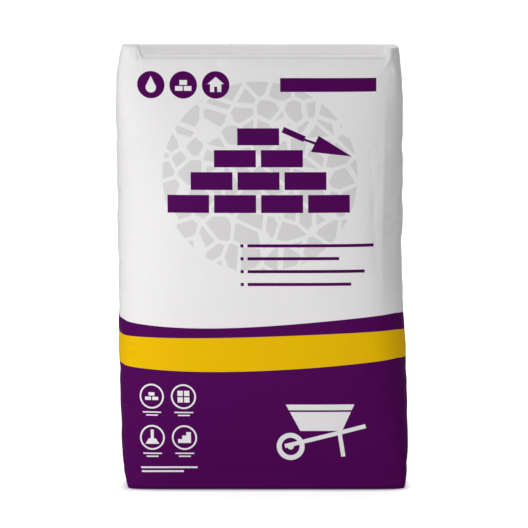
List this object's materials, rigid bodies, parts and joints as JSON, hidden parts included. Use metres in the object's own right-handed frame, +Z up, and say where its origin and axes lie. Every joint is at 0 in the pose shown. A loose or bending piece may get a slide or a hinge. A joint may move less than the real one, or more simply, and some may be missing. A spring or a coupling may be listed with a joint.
{
  "type": "cement bag",
  "caption": "Filled block-ended paper sack of dry cement mix, standing upright, with cover patches on both folded ends and a flat filling sleeve in one top corner.",
  "frame": {"origin": "middle of the flat bottom end, at floor level", "axes": "+Z up the sack, -Y out of the printed front, +X to the right as the front is seen"},
  "size_m": [0.295, 0.1156, 0.4445],
  "materials": {
    "printed_paper": "satin",
    "patch_paper": "matte",
    "kraft_paper": "matte",
    "dry_mix": "matte"
  },
  "bodies": {
    "root": {"paper_sack": "printed_paper", "dry_mix": "dry_mix", "bottom_cover_patch": "patch_paper", "top_cover_patch": "patch_paper", "valve_sleeve": "kraft_paper"}
  },
  "joints": []
}
